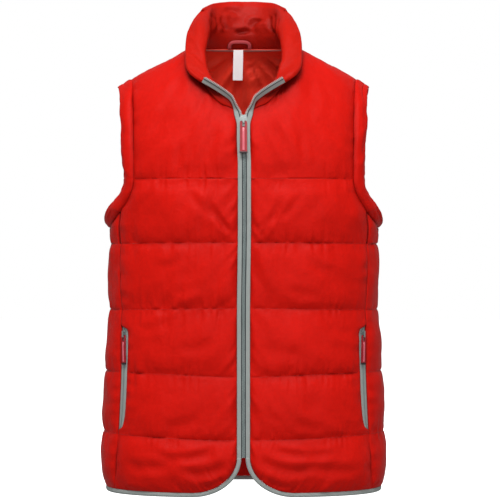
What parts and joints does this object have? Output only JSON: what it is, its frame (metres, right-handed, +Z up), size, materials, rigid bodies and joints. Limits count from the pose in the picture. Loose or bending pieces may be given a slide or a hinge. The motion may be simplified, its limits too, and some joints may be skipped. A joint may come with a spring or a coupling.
{
  "type": "puffer vest",
  "caption": "Sleeveless quilted vest with a zipped front, a padded stand collar, padded armhole bands, side pocket zips and a bound, rounded hem, shown zipped in its worn form.",
  "frame": {"origin": "middle of the neck base, level with the two shoulder points where the collar meets the shoulder seams", "axes": "+Z up along the body, the wearer faces -Y, +X is the wearer's left"},
  "size_m": [0.4566, 0.2678, 0.7867],
  "materials": {
    "shell": "smooth woven polyester with a soft sheen, padded and quilted",
    "lining": "smooth woven lining",
    "tape": "matte woven tape",
    "zip_metal": "satin grey",
    "pull": "satin moulded",
    "label": "matte woven, blank"
  },
  "bodies": {
    "vest": {"front_left": "shell", "front_right": "shell", "back": "shell", "armhole_band_left": "shell", "armhole_band_right": "shell", "collar": "shell", "back_lining": "lining", "neck_tape": "tape", "hanger_loop": "tape", "neck_label": "label", "hem_binding_front_left": "tape", "hem_binding_front_right": "tape", "hem_binding_back": "tape", "zip_tape_left": "tape", "zip_tape_right": "tape", "zip_slider": "zip_metal", "pocket_zip_left": "tape", "pocket_zip_right": "tape", "pocket_slider_left": "zip_metal", "pocket_slider_right": "zip_metal"},
    "main_pull": {"zip_pull": "pull"},
    "left_pocket_pull": {"pocket_pull_left": "pull"},
    "right_pocket_pull": {"pocket_pull_right": "pull"}
  },
  "joints": [
    {"name": "main_pull_swing", "type": "hinge", "parent": "vest", "child": "main_pull", "pos_m": [0, -0.12282, -0.12687], "axis": [-1, 0, 0], "range_deg": [0, 150]},
    {"name": "left_pocket_pull_swing", "type": "hinge", "parent": "vest", "child": "left_pocket_pull", "pos_m": [0.187, -0.08526, -0.45785], "axis": [-0.7006, -0.7109, 0.0622], "range_deg": [0, 120]},
    {"name": "right_pocket_pull_swing", "type": "hinge", "parent": "vest", "child": "right_pocket_pull", "pos_m": [-0.187, -0.08526, -0.45785], "axis": [-0.7006, 0.7109, -0.0622], "range_deg": [0, 120]}
  ]
}
